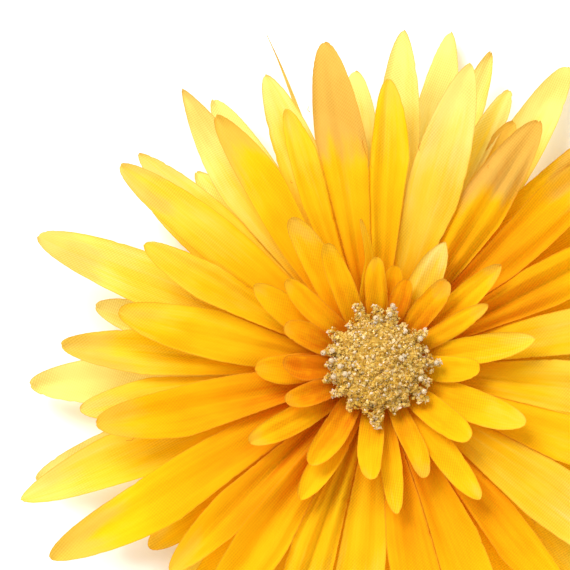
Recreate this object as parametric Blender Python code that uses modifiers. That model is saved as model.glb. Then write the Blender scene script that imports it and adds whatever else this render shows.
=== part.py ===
"""A fabric gerbera flower on a sprung alligator hair clip.

Five die-cut cloth discs are threaded on a plastic peg under a beaded crown. Their back is glued
to a felt circle, and a felt strap holds the clip's upper arm on it. The flower faces +Z, the clip
lies along X beneath it, and the lever of the clip stands on z = 0.

Every length below is in millimetres and every angle in degrees. Meshes are made in metres.
"""
import math
import random

import bmesh
import bpy
from mathutils import Matrix, Vector

MM = 0.001
GAP = 0.3                    # clearance between pieces that touch on the real object

# The clip, seen from the side: x along it, z up
PIN_X = -5.5
PIN_Z = 5.2
PIN_RADIUS = 0.75
PIN_HEAD_RADIUS = 1.5
PIN_HEAD_THICKNESS = 0.5
SHEET_STEEL = 0.6
ARM_UNDERSIDE = 8.0
ARM_HALF_WIDTH = 4.0
ARM_TAIL_X = -21.0
ARM_FRONT_X = 25.5
EAR_HALF_LENGTH = 3.0
JAW_HALF_WIDTH = 3.1
JAW_TAIL_X = -22.0
JAW_TIP_X = 25.0
JAW_EAR_RADIUS = 2.0
TOOTH_PITCH = 1.4
TOOTH_HEIGHT = 0.9
TOOTH_COUNT = 5
WALL_START = (-10.5, 2.39)   # where the jaw's walls rise from its lever
CHANNEL_START = (-12.0, 2.25)
SPRING_WIRE_RADIUS = 0.3
SPRING_COIL_RADIUS = 1.6
SPRING_TURNS = 4.5
SPRING_PITCH = 0.75
SPRING_LEG_END_X = -14.0
SPRING_STEPS_PER_TURN = 10

# The stack on the clip, from the arm up
GLUE_PAD_THICKNESS = 0.4
FELT_THICKNESS = 1.2
FELT_RADIUS = 19.0
GLUE_DISC_THICKNESS = 0.6
GLUE_DISC_RADIUS = 9.0
COLLAR_THICKNESS = 0.75
COLLAR_RADIUS = 5.0
PEG_RADIUS = 1.6
PEG_HEAD_RADIUS = 4.5
PEG_HEAD_THICKNESS = 0.8
PETAL_HOLE_RADIUS = PEG_RADIUS + GAP
CLOTH = 0.3
DISC_SPACING = 2 * CLOTH

ARM_TOP = ARM_UNDERSIDE + SHEET_STEEL
GLUE_PAD_BOTTOM = ARM_TOP + 0.2
FELT_BOTTOM = GLUE_PAD_BOTTOM + GLUE_PAD_THICKNESS + 0.3
FELT_TOP = FELT_BOTTOM + FELT_THICKNESS
GLUE_DISC_BOTTOM = FELT_TOP + GAP
COLLAR_BOTTOM = GLUE_DISC_BOTTOM + GLUE_DISC_THICKNESS + 0.25
BACK_DISC_Z = COLLAR_BOTTOM + COLLAR_THICKNESS + 0.4
MIDDLE_DISC_Z = BACK_DISC_Z + DISC_SPACING
FRONT_DISC_Z = MIDDLE_DISC_Z + DISC_SPACING
LONG_INNER_Z = FRONT_DISC_Z + DISC_SPACING
SHORT_INNER_Z = LONG_INNER_Z + DISC_SPACING
PEG_HEAD_BOTTOM = SHORT_INNER_Z + 0.5
CROWN_BOTTOM = PEG_HEAD_BOTTOM + PEG_HEAD_THICKNESS + GAP

# Felt strap: it runs across the clip along Y and dips under the arm
STRAP_HALF_LENGTH = 13.0
STRAP_BACK_X = -1.0
STRAP_FRONT_X = 4.0
STRAP_THICKNESS = 0.9

# Crown: rings from the underside to the top, as (height above its base, radius, share of a spike)
CROWN_RINGS = (
    (0.0, 5.5, 0.0),
    (0.9, 7.4, 0.1),
    (2.0, 7.9, 1.0),
    (3.2, 7.7, 0.45),
    (4.4, 6.8, 0.1),
    (5.3, 4.6, 0.0),
    (5.8, 2.2, 0.0),
)
CROWN_TOP = 5.95
SPIKE_LENGTHS = (
    3.5, 1.6, 3.0, 1.2, 3.0, 3.2, 4.0, 1.6, 3.2, 2.4,
    1.8, 2.6, 2.6, 2.6, 1.6, 4.0, 1.4, 1.4, 3.6, 2.2,
)
SPIKE_COLUMNS = 4

# Microbeads on the crown, as (x, y)
BEAD_RADIUS = 0.6
BEADS = (
    (3.9, 0.4), (-8.4, 0.3), (-9.8, 1.8), (-8.2, 2.1), (-6.9, -0.9), (-6.0, -2.3), (-8.0, -2.6),
    (2.0, 8.6), (2.6, 10.3), (7.4, 4.2), (8.0, -5.2), (7.4, -3.0), (10.3, 0.0), (-0.5, 7.8),
)

# Petals of each disc, as (direction, reach, greatest width), anticlockwise from +X
BACK_PETALS = (
    (12, 63, 9), (27, 60, 8.5), (41, 66, 9), (57, 70, 9), (70, 65, 7), (76, 67.5, 8.5), (93, 57, 8.5),
    (107, 66.5, 8), (121, 60, 8.5), (132, 50, 7), (143, 55, 7.5), (154, 49, 7), (166, 53, 8.5),
    (183, 63.5, 10), (196, 65, 10), (212, 58, 8.5), (227, 64, 9), (241, 60, 8.5), (255, 66, 9),
    (269, 65.5, 9), (284, 62, 8.5), (299, 67, 9), (313, 60, 8.5), (328, 66, 9), (343, 60, 8.5),
    (357, 64, 9),
)
MIDDLE_PETALS = (
    (3, 60, 8.5), (18, 64, 9), (33, 58, 8.5), (47, 62, 8.5), (60, 52, 7.5), (65, 57, 6.5),
    (86, 63, 8.5), (97, 48, 6.5), (109, 58, 8.5), (126, 62.3, 9), (139, 58.5, 7.5), (160, 66, 10),
    (177, 57, 8.5), (189, 54, 8.5), (200, 68, 10), (219, 52, 8.5), (233, 62, 9), (247, 57, 8.5),
    (261, 64, 9), (275, 59, 8.5), (289, 63, 9), (303, 58, 8.5), (317, 65, 9), (332, 57, 8.5),
    (347, 63, 9),
)
FRONT_PETALS = (
    (10, 62, 8.5), (26, 57, 8.5), (41, 62, 9), (55, 52.7, 9), (72, 57, 10), (87, 52, 7.5),
    (100, 59, 9.5), (110, 49, 6.5), (122, 53, 7.8), (143, 58, 8), (154, 47, 7.5), (170, 47, 9),
    (193, 51, 9.5), (211, 67, 10), (224, 52, 7.5), (237, 60, 9), (251, 56, 8.5), (265, 62, 9),
    (280, 58, 9), (294, 62, 9), (307, 55, 8), (322, 66, 11), (338, 59, 9), (354, 63, 10),
)
LONG_INNER_PETALS = (
    (9, 28, 5.2), (38, 28, 4.6), (60, 25, 5.6), (79, 18, 4.2), (99, 26, 5), (122, 30, 5.6),
    (150, 26, 5.4), (180, 22, 5.6), (214, 27, 4.9), (242, 28, 5), (277, 27, 3.9), (307, 30, 4.9),
    (336, 28, 6),
)
SHORT_INNER_PETALS = (
    (26, 22, 3.6), (50, 19, 4.5), (70, 16, 4), (90, 19, 4.1), (115, 23, 4.4), (138, 22, 4.4),
    (160, 18, 4.6), (183, 17, 5), (205, 18, 4.3), (235, 22, 5), (263, 21, 4.6), (293, 22, 4),
    (320, 21, 5.2), (359, 18, 4.8),
)
OUTER_HUB_RADIUS = 7.0
LONG_HUB_RADIUS = 6.0
SHORT_HUB_RADIUS = 5.0

# Half width of a petal against its greatest half width, at shares of its reach past the hub
OUTER_OUTLINE = ((0.18, 0.6), (0.4, 0.92), (0.6, 0.99), (0.79, 0.8), (0.93, 0.46))
INNER_OUTLINE = ((0.18, 0.79), (0.4, 0.95), (0.6, 1.0), (0.79, 0.9), (0.93, 0.6))
SLIT_SHARE = 0.94            # how much of its sector a petal fills between two slits
SHAPE_RUN = 60.0             # the run past the hub over which cup, twist and lift grow to full size
OUTER_SHAPE = (0.9, 0.9, 1.2)        # cup, twist and lift
INNER_SHAPE = (1.5, 0.9, 0.9)

# How far the petals of each disc fall, arch or rise, and over what run past the hub
BACK_FALL, BACK_RUN, BACK_CURVE = 10.8, 63.0, 1.5
MIDDLE_ARCH, MIDDLE_RUN = 0.6, 61.0
FRONT_RISE, FRONT_RUN, FRONT_CURVE = 8.5, 55.0, 1.1
LONG_INNER_RISE, LONG_INNER_RUN = 6.5, 22.0
SHORT_INNER_RISE, SHORT_INNER_RUN = 6.0, 15.0


def back_height(radius):
    """Height of the back disc at a radius: it droops towards the table."""
    return BACK_DISC_Z - BACK_FALL * (max(radius - OUTER_HUB_RADIUS, 0) / BACK_RUN) ** BACK_CURVE


def middle_height(radius):
    """Height of the middle disc: nearly flat, with a slight arch."""
    share = min(1.0, max(radius - OUTER_HUB_RADIUS, 0) / MIDDLE_RUN)
    return MIDDLE_DISC_Z + MIDDLE_ARCH * math.sin(math.pi * share)


def front_height(radius):
    """Height of the front disc: it rises towards its tips."""
    return FRONT_DISC_Z + FRONT_RISE * (max(radius - OUTER_HUB_RADIUS, 0) / FRONT_RUN) ** FRONT_CURVE


def long_inner_height(radius):
    return LONG_INNER_Z + LONG_INNER_RISE * max(radius - LONG_HUB_RADIUS, 0) / LONG_INNER_RUN


def short_inner_height(radius):
    return SHORT_INNER_Z + SHORT_INNER_RISE * max(radius - SHORT_HUB_RADIUS, 0) / SHORT_INNER_RUN


def clear_scene():
    for obj in list(bpy.data.objects):
        bpy.data.objects.remove(obj, do_unlink=True)


def make_collection(name):
    collection = bpy.data.collections.new(name)
    bpy.context.scene.collection.children.link(collection)
    return collection


def make_material(name, color, roughness, metallic=0.0):
    material = bpy.data.materials.new(name)
    material.use_nodes = True
    shader = material.node_tree.nodes["Principled BSDF"]
    shader.inputs["Base Color"].default_value = (*color, 1)
    shader.inputs["Roughness"].default_value = roughness
    shader.inputs["Metallic"].default_value = metallic
    material.diffuse_color = (*color, 1)
    return material


def add_part(name, mesh, material=None, smooth_below=40):
    """Link a mesh as a finished part, shaded smooth with sharp edges kept."""
    obj = bpy.data.objects.new(name, mesh)
    parts.objects.link(obj)
    if material:
        mesh.materials.clear()
        mesh.materials.append(material)
    mesh.shade_smooth()
    mesh.set_sharp_from_angle(angle=math.radians(smooth_below))
    return obj


def mesh_of(obj):
    """The evaluated mesh of an object, welded, in place of the object itself."""
    bpy.context.view_layer.update()
    graph = bpy.context.evaluated_depsgraph_get()
    mesh = bpy.data.meshes.new_from_object(obj.evaluated_get(graph))
    mesh.transform(obj.matrix_world)
    work = bmesh.new()
    work.from_mesh(mesh)
    bmesh.ops.remove_doubles(work, verts=work.verts, dist=1e-7)
    bmesh.ops.recalc_face_normals(work, faces=work.faces)
    work.to_mesh(mesh)
    work.free()
    bpy.data.objects.remove(obj, do_unlink=True)
    return mesh


def outline_mesh(points, thickness, middle=(0, 0, 0), upright=False):
    """A flat closed outline given thickness. Upright, its points are (x, z) and it is thick along Y."""
    curve = bpy.data.curves.new("outline", "CURVE")
    curve.dimensions = "2D"
    curve.fill_mode = "BOTH"
    curve.extrude = thickness * MM / 2
    spline = curve.splines.new("POLY")
    spline.points.add(len(points) - 1)
    for point, (u, v) in zip(spline.points, points):
        point.co = (u * MM, v * MM, 0, 1)
    spline.use_cyclic_u = True
    obj = bpy.data.objects.new("outline", curve)
    bpy.context.scene.collection.objects.link(obj)
    obj.location = Vector(middle) * MM
    obj.rotation_euler.x = math.pi / 2 if upright else 0
    return mesh_of(obj)


def turned_mesh(profile, steps, axis_y=False):
    """A profile of (radius, z) points, running down the outer side, turned about Z or about Y."""
    mesh = bpy.data.meshes.new("profile")
    points = [(radius * MM, 0, z * MM) for radius, z in profile]
    mesh.from_pydata(points, [(i, i + 1) for i in range(len(points) - 1)], [])
    obj = bpy.data.objects.new("profile", mesh)
    bpy.context.scene.collection.objects.link(obj)
    screw = obj.modifiers.new("turn", "SCREW")
    screw.steps = steps
    screw.render_steps = steps
    screw.use_merge_vertices = True
    screw.merge_threshold = 1e-6
    if axis_y:
        obj.rotation_euler.x = math.pi / 2
    return mesh_of(obj)


def add_cutter(name, mesh):
    cutter = bpy.data.objects.new(name, mesh)
    cutters.objects.link(cutter)
    cutter.hide_render = True
    cutter.display_type = "WIRE"
    return cutter


def combine(obj, tool_name, tool_mesh, operation):
    """Cut, join or intersect a part with a tool body by an exact Boolean."""
    modifier = obj.modifiers.new(tool_name, "BOOLEAN")
    modifier.operation = operation
    modifier.solver = "EXACT"
    modifier.object = add_cutter(tool_name, tool_mesh)


def arc(centre, radius, start, end, steps):
    """Points on an arc, from the start angle to the end angle."""
    angles = (math.radians(start + (end - start) * i / steps) for i in range(steps + 1))
    return [(centre[0] + radius * math.cos(a), centre[1] + radius * math.sin(a)) for a in angles]


def pin_hole():
    """A round bar through the clip along the pin's axis, as wide as its holes."""
    circle = arc((PIN_X, PIN_Z), PIN_RADIUS + GAP, 0, 345, 23)
    return outline_mesh(circle, 3 * ARM_HALF_WIDTH, upright=True)


def petal_sectors(petals):
    """For each petal, the directions of its two slits. A wide petal takes more of the space."""
    sectors = []
    for i, (angle, _, width) in enumerate(petals):
        last_angle, _, last_width = petals[i - 1]
        next_angle, _, next_width = petals[(i + 1) % len(petals)]
        before = (angle - last_angle) % 360 * width / (width + last_width)
        after = (next_angle - angle) % 360 * width / (width + next_width)
        sectors.append((before, after))
    return sectors


def petal_disc(name, petals, height, hub_radius, outline, shape, material, seed):
    """One die-cut disc: a ring around the peg, and its petals with their cup, twist and lift."""
    chance = random.Random(seed)
    cup, twist, lift = shape
    mesh = bmesh.new()

    def vertex(radius, angle, side=0.0, leaning=0.0, lifting=0.0):
        share = max(radius - hub_radius, 0) / SHAPE_RUN
        z = height(radius) + share * (cup * side * side + leaning * side + lifting)
        x = radius * math.cos(math.radians(angle))
        y = radius * math.sin(math.radians(angle))
        return mesh.verts.new((x * MM, y * MM, z * MM))

    sectors = petal_sectors(petals)
    inner_slit, inner_middle, outer_slit, outer_middle = [], [], [], []
    for (angle, _, _), (before, _) in zip(petals, sectors):
        inner_slit.append(vertex(PETAL_HOLE_RADIUS, angle - before))
        inner_middle.append(vertex(PETAL_HOLE_RADIUS, angle))
        outer_slit.append(vertex(hub_radius, angle - before))
        outer_middle.append(vertex(hub_radius, angle))
    for i, ((angle, reach, width), (before, after)) in enumerate(zip(petals, sectors)):
        j = (i + 1) % len(petals)
        mesh.faces.new((inner_slit[i], outer_slit[i], outer_middle[i], inner_middle[i]))
        mesh.faces.new((inner_middle[i], outer_middle[i], outer_slit[j], inner_slit[j]))
        leaning = chance.uniform(-twist, twist)
        lifting = chance.uniform(-lift, lift)
        row = (outer_slit[i], outer_middle[i], outer_slit[j])
        for share, fullness in outline:
            radius = hub_radius + (reach - hub_radius) * share
            spread = math.degrees(width / 2 * fullness / radius)
            right = angle - min(spread, before * SLIT_SHARE)
            left = angle + min(spread, after * SLIT_SHARE)
            new_row = (
                vertex(radius, right, -1, leaning, lifting),
                vertex(radius, angle, 0, leaning, lifting),
                vertex(radius, left, 1, leaning, lifting),
            )
            mesh.faces.new((row[0], new_row[0], new_row[1], row[1]))
            mesh.faces.new((row[1], new_row[1], new_row[2], row[2]))
            row = new_row
        tip = vertex(reach, angle, 0, leaning, lifting)
        mesh.faces.new((row[0], tip, row[1]))
        mesh.faces.new((row[1], tip, row[2]))
    data = bpy.data.meshes.new(name)
    mesh.to_mesh(data)
    mesh.free()
    obj = add_part(name, data, material, smooth_below=60)
    thickness = obj.modifiers.new("cloth thickness", "SOLIDIFY")
    thickness.thickness = CLOTH * MM
    thickness.offset = 0
    return obj


def spike_at(column):
    """Length of the spike on a column of the crown: every SPIKE_COLUMNS-th one has a spike."""
    if column % SPIKE_COLUMNS:
        return 0.0
    return SPIKE_LENGTHS[column // SPIKE_COLUMNS % len(SPIKE_LENGTHS)]


def make_crown(material):
    """The domed centre, with blunt spikes around its rim."""
    columns = SPIKE_COLUMNS * len(SPIKE_LENGTHS)
    mesh = bmesh.new()
    rings = []
    for height, ring_radius, spike_share in CROWN_RINGS:
        ring = []
        for column in range(columns):
            angle = math.tau * column / columns
            radius = ring_radius + spike_share * spike_at(column)
            place = (radius * math.cos(angle), radius * math.sin(angle), CROWN_BOTTOM + height)
            ring.append(mesh.verts.new(Vector(place) * MM))
        rings.append(ring)
    top = mesh.verts.new((0, 0, (CROWN_BOTTOM + CROWN_TOP) * MM))
    for lower, upper in zip(rings, rings[1:]):
        for i in range(columns):
            j = (i + 1) % columns
            mesh.faces.new((lower[i], lower[j], upper[j], upper[i]))
    for i in range(columns):
        mesh.faces.new((rings[-1][i], rings[-1][(i + 1) % columns], top))
    mesh.faces.new(reversed(rings[0]))
    data = bpy.data.meshes.new("glitter_crown")
    mesh.to_mesh(data)
    mesh.free()
    return add_part("glitter_crown", data, material)


def crown_surface(x, y):
    """Height of the crown's upper side near a place, with any spike close to it."""
    columns = SPIKE_COLUMNS * len(SPIKE_LENGTHS)
    nearest = round(math.atan2(y, x) / math.tau * columns)
    spike = max(spike_at(column) for column in range(nearest - 2, nearest + 3))
    outer = [(ring_radius + share * spike, height) for height, ring_radius, share in CROWN_RINGS[2:]]
    radius = math.hypot(x, y)
    for (wide, low), (narrow, high) in zip(outer, outer[1:]):
        if narrow <= radius <= wide:
            return CROWN_BOTTOM + low + (high - low) * (wide - radius) / (wide - narrow)
    return CROWN_BOTTOM + (CROWN_RINGS[2][0] if radius > outer[0][0] else CROWN_TOP)


def make_beads(material):
    """Microbeads that lie on the crown, sharing one mesh."""
    data = bpy.data.meshes.new("glass_bead")
    mesh = bmesh.new()
    bmesh.ops.create_uvsphere(mesh, u_segments=8, v_segments=5, radius=BEAD_RADIUS * MM)
    mesh.to_mesh(data)
    mesh.free()
    for number, (x, y) in enumerate(BEADS, start=1):
        bead = add_part(f"glass_bead_{number:02d}", data, material)
        z = crown_surface(x, y) + BEAD_RADIUS + GAP
        bead.location = Vector((x, y, z)) * MM


def make_peg(material):
    """The plastic peg that threads the discs: its head is under the crown."""
    head_top = PEG_HEAD_BOTTOM + PEG_HEAD_THICKNESS
    profile = (
        (0, head_top), (PEG_HEAD_RADIUS - 0.4, head_top), (PEG_HEAD_RADIUS, head_top - 0.3),
        (PEG_HEAD_RADIUS, PEG_HEAD_BOTTOM), (PEG_RADIUS, PEG_HEAD_BOTTOM),
        (PEG_RADIUS, COLLAR_BOTTOM + 0.3), (PEG_RADIUS - 0.3, COLLAR_BOTTOM), (0, COLLAR_BOTTOM),
    )
    return add_part("centre_peg", turned_mesh(profile, 24), material)


def make_collar(material):
    """The ring that snaps on the peg behind the discs."""
    top = COLLAR_BOTTOM + COLLAR_THICKNESS
    hole = PEG_RADIUS + GAP
    profile = (
        (hole, top), (COLLAR_RADIUS - 0.2, top), (COLLAR_RADIUS, top - 0.2),
        (COLLAR_RADIUS, COLLAR_BOTTOM), (hole, COLLAR_BOTTOM), (hole, top),
    )
    return add_part("peg_collar", turned_mesh(profile, 24), material)


def make_disc(name, radius, bottom, thickness, edge, material, steps=40):
    """A plain round disc with softened edges."""
    top = bottom + thickness
    profile = (
        (0, top), (radius - edge, top), (radius, top - edge), (radius, bottom + edge),
        (radius - edge, bottom), (0, bottom),
    )
    return add_part(name, turned_mesh(profile, steps), material)


def make_glue_pad(material):
    """A flattened bead of hot glue between the clip's arm and the felt."""
    points = arc((10, 0), 3, -90, 90, 8) + arc((-12, 0), 3, 90, 270, 8)
    middle = (0, 0, GLUE_PAD_BOTTOM + GLUE_PAD_THICKNESS / 2)
    return add_part("arm_glue_pad", outline_mesh(points, GLUE_PAD_THICKNESS, middle), material)


def make_strap(material):
    """The felt strap: flat against the felt circle at both ends, and under the arm between."""
    high = FELT_BOTTOM - GAP
    low = ARM_UNDERSIDE - GAP
    bend = ARM_HALF_WIDTH + 0.5
    half = [(bend - 0.4, low), (bend + 0.5, low + 0.5), (bend + 1.2, high - 0.3), (bend + 2.2, high)]
    upper = half + [(STRAP_HALF_LENGTH, high)]
    lower = [(y + (0.5 if y < bend + 1 else 0.2), z - STRAP_THICKNESS) for y, z in half]
    lower += [(STRAP_HALF_LENGTH, high - STRAP_THICKNESS)]
    mirrored_upper = [(-y, z) for y, z in reversed(upper)]
    mirrored_lower = [(-y, z) for y, z in lower]
    outline = mirrored_upper + upper + list(reversed(lower)) + mirrored_lower
    width = STRAP_FRONT_X - STRAP_BACK_X
    mesh = outline_mesh(outline, width, upright=True)
    mesh.transform(Matrix.Rotation(math.pi / 2, 4, "Z"))
    mesh.transform(Matrix.Translation(((STRAP_BACK_X + STRAP_FRONT_X) / 2 * MM, 0, 0)))
    return add_part("felt_strap", mesh, material)


def make_upper_arm(material):
    """The fixed arm: a flat plate with two ears folded down around the pin."""
    front = arc((ARM_FRONT_X - 3, 0), 3, -60, 60, 8)
    tail = arc((ARM_TAIL_X + ARM_HALF_WIDTH, 0), ARM_HALF_WIDTH, 90, 270, 12)
    plan = front + [(ARM_FRONT_X - 9, ARM_HALF_WIDTH)] + tail + [(ARM_FRONT_X - 9, -ARM_HALF_WIDTH)]
    middle = (0, 0, ARM_UNDERSIDE + SHEET_STEEL / 2)
    arm = add_part("clip_upper_arm", outline_mesh(plan, SHEET_STEEL, middle), material, 30)
    ear_top = ARM_UNDERSIDE + SHEET_STEEL / 2
    ear = [(PIN_X - EAR_HALF_LENGTH, ear_top)]
    ear += arc((PIN_X, PIN_Z - 0.4), 2.2, 200, 340, 10)
    ear += [(PIN_X + EAR_HALF_LENGTH, ear_top)]
    ears = bpy.data.objects.new("ear_blank", outline_mesh(ear, 2 * ARM_HALF_WIDTH, upright=True))
    bpy.context.scene.collection.objects.link(ears)
    inside_width = 2 * (ARM_HALF_WIDTH - SHEET_STEEL)
    channel = [(-15, -2), (5, -2), (5, ARM_UNDERSIDE), (-15, ARM_UNDERSIDE)]
    combine(ears, "between_arm_ears", outline_mesh(channel, inside_width, upright=True), "DIFFERENCE")
    combine(arm, "arm_ears", mesh_of(ears), "UNION")
    combine(arm, "arm_pin_hole", pin_hole(), "DIFFERENCE")
    return arm


def jaw_underside():
    """The lower edge of the jaw seen from the side, from the lever's end to the tip."""
    return [
        (JAW_TAIL_X, 0.0), (-15.5, 0.75), (-9.5, 2.0), (-2.0, 2.1), (6.0, 1.8), (11.0, 2.1),
        (15.0, 3.2), (19.0, 4.7), (22.5, 5.8), (JAW_TIP_X, 6.4),
    ]


def jaw_teeth():
    """The saw edge of the jaw's walls, from the tip backwards."""
    top = ARM_UNDERSIDE - GAP
    points = []
    for tooth in range(TOOTH_COUNT):
        x = JAW_TIP_X - tooth * TOOTH_PITCH
        points.append((x, top))
        points.append((x - TOOTH_PITCH * 0.75, top - TOOTH_HEIGHT))
    return points


def make_lower_jaw(material):
    """The moving jaw: a folded channel with ears on the pin, teeth at the tip and a lever behind."""
    under = jaw_underside()
    plate_top = [(x, z + SHEET_STEEL) for x, z in under]
    wall = jaw_teeth() + [(17.2, 5.4), (14.0, 3.9), (10.5, 3.1), (4.0, 2.9), (-1.0, 3.2)]
    wall += arc((PIN_X, PIN_Z), JAW_EAR_RADIUS, -25, 205, 14)
    wall += [WALL_START, plate_top[1], plate_top[0]]
    blank = outline_mesh(under + wall, 2 * ARM_HALF_WIDTH, upright=True)
    jaw = add_part("clip_lower_jaw", blank, material, 30)
    inside = [CHANNEL_START] + plate_top[2:] + [(JAW_TIP_X + 3, 7.2), (JAW_TIP_X + 3, 14), (-12, 14)]
    inside_width = 2 * (JAW_HALF_WIDTH - SHEET_STEEL)
    combine(jaw, "jaw_channel", outline_mesh(inside, inside_width, upright=True), "DIFFERENCE")
    lever_end = arc((JAW_TAIL_X + ARM_HALF_WIDTH, 0), ARM_HALF_WIDTH, 90, 270, 12)
    plan = [(-10.2, -ARM_HALF_WIDTH), (-9.3, -JAW_HALF_WIDTH), (JAW_TIP_X - 3, -JAW_HALF_WIDTH)]
    plan += [(JAW_TIP_X + 0.2, -1.9), (JAW_TIP_X + 0.2, 1.9)]
    plan += [(JAW_TIP_X - 3, JAW_HALF_WIDTH), (-9.3, JAW_HALF_WIDTH), (-10.2, ARM_HALF_WIDTH)]
    combine(jaw, "jaw_plan", outline_mesh(plan + lever_end, 40), "INTERSECT")
    combine(jaw, "jaw_pin_hole", pin_hole(), "DIFFERENCE")
    return jaw


def make_pin(material):
    """The rivet through both pairs of ears."""
    head_in = ARM_HALF_WIDTH + GAP
    head_out = head_in + PIN_HEAD_THICKNESS
    profile = (
        (0, head_out), (PIN_HEAD_RADIUS - 0.3, head_out), (PIN_HEAD_RADIUS, head_out - 0.25),
        (PIN_HEAD_RADIUS, head_in), (PIN_RADIUS, head_in), (PIN_RADIUS, -head_in),
        (PIN_HEAD_RADIUS, -head_in), (PIN_HEAD_RADIUS, -head_out + 0.25),
        (PIN_HEAD_RADIUS - 0.3, -head_out), (0, -head_out),
    )
    pin = add_part("hinge_pin", turned_mesh(profile, 20, axis_y=True), material)
    pin.location = Vector((PIN_X, 0, PIN_Z)) * MM
    return pin


def spring_route():
    """The wire's centre line: a leg along the arm, the coil on the pin, and a leg along the lever."""
    steps = round(SPRING_TURNS * SPRING_STEPS_PER_TURN)
    route = [(SPRING_LEG_END_X, SPRING_TURNS * SPRING_PITCH / 2, ARM_UNDERSIDE - 0.65)]
    for step in range(steps + 1):
        angle = math.pi / 2 - math.tau * step / SPRING_STEPS_PER_TURN
        x = PIN_X + SPRING_COIL_RADIUS * math.cos(angle)
        y = SPRING_PITCH * (SPRING_TURNS / 2 - step / SPRING_STEPS_PER_TURN)
        z = PIN_Z + SPRING_COIL_RADIUS * math.sin(angle)
        route.append((x, y, z))
    route.append((SPRING_LEG_END_X, -SPRING_TURNS * SPRING_PITCH / 2, 2.5))
    return route


def make_spring(material):
    route = spring_route()
    curve = bpy.data.curves.new("torsion_spring", "CURVE")
    curve.dimensions = "3D"
    curve.bevel_depth = SPRING_WIRE_RADIUS * MM
    curve.bevel_resolution = 2
    curve.use_fill_caps = True
    spline = curve.splines.new("POLY")
    spline.points.add(len(route) - 1)
    for point, place in zip(spline.points, route):
        point.co = (*(Vector(place) * MM), 1)
    obj = bpy.data.objects.new("torsion_spring", curve)
    bpy.context.scene.collection.objects.link(obj)
    return add_part("torsion_spring", mesh_of(obj), material)


clear_scene()
parts = make_collection("flower_hair_clip")
cutters = make_collection("cutters")

petal_cloth = make_material("petal_cloth", (0.96, 0.53, 0.01), 0.85)
inner_cloth = make_material("inner_petal_cloth", (0.93, 0.42, 0.01), 0.85)
glitter = make_material("gold_glitter", (0.55, 0.38, 0.13), 0.35, 0.3)
glass = make_material("clear_glass", (0.9, 0.87, 0.8), 0.05)
plastic = make_material("yellow_plastic", (0.85, 0.55, 0.1), 0.45)
glue = make_material("hot_glue", (0.85, 0.83, 0.76), 0.3)
felt = make_material("yellow_felt", (0.9, 0.55, 0.03), 0.95)
steel = make_material("nickel_plated_steel", (0.72, 0.71, 0.69), 0.25, 1.0)
spring_steel = make_material("spring_steel", (0.55, 0.55, 0.56), 0.35, 1.0)

OUTER = (OUTER_HUB_RADIUS, OUTER_OUTLINE, OUTER_SHAPE, petal_cloth)
LONG_INNER = (LONG_HUB_RADIUS, INNER_OUTLINE, INNER_SHAPE, inner_cloth)
SHORT_INNER = (SHORT_HUB_RADIUS, INNER_OUTLINE, INNER_SHAPE, inner_cloth)
petal_disc("petal_disc_outer_back", BACK_PETALS, back_height, *OUTER, seed=11)
petal_disc("petal_disc_outer_middle", MIDDLE_PETALS, middle_height, *OUTER, seed=12)
petal_disc("petal_disc_outer_front", FRONT_PETALS, front_height, *OUTER, seed=13)
petal_disc("petal_disc_inner_long", LONG_INNER_PETALS, long_inner_height, *LONG_INNER, seed=14)
petal_disc("petal_disc_inner_short", SHORT_INNER_PETALS, short_inner_height, *SHORT_INNER, seed=15)
make_crown(glitter)
make_beads(glass)
make_peg(plastic)
make_collar(plastic)
make_disc("back_glue_disc", GLUE_DISC_RADIUS, GLUE_DISC_BOTTOM, GLUE_DISC_THICKNESS, 0.2, glue, 24)
make_disc("felt_backing", FELT_RADIUS, FELT_BOTTOM, FELT_THICKNESS, 0.3, felt)
make_glue_pad(glue)
make_strap(felt)
make_upper_arm(steel)
make_lower_jaw(steel)
make_pin(steel)
make_spring(spring_steel)
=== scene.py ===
"""The looks of a fabric gerbera flower on a sprung alligator hair clip, built round its CAD frame.

Lengths are in millimetres and angles in degrees until a mesh is made. The flower faces +Z.
"""

import math
import random

import bmesh
import bpy
import numpy as np
from mathutils import Matrix, Vector, noise


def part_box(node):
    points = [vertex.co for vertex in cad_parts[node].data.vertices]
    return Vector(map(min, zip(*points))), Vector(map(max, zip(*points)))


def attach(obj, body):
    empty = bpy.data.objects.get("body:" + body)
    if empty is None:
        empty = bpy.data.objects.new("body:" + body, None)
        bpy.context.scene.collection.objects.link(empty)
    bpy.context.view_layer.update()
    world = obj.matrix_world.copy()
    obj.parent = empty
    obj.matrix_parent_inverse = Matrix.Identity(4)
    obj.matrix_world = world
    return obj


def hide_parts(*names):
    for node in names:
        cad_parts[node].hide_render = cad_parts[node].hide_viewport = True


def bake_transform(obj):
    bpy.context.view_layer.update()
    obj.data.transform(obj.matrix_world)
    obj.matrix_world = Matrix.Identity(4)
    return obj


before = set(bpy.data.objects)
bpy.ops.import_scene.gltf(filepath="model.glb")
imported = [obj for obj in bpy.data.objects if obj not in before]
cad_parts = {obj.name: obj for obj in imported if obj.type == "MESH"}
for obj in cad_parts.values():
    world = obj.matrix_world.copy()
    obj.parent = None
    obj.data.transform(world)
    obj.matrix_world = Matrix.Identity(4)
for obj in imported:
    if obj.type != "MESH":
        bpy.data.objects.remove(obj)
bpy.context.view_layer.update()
scene = bpy.context.scene
scene.view_settings.view_transform = "Standard"

MM = 0.001
GAP = 0.3  # between pieces that touch

# Heights of the stack, as in the CAD
FELT_BOTTOM = 9.3
FELT_THICKNESS = 1.2
FELT_RADIUS = 19.0
BACK_DISC_Z = 12.8
MIDDLE_DISC_Z = 13.4
FRONT_DISC_Z = 14.0
LONG_INNER_Z = 14.6
SHORT_INNER_Z = 15.2
CROWN_BOTTOM = 16.8
PETAL_HOLE_RADIUS = 1.9

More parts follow.
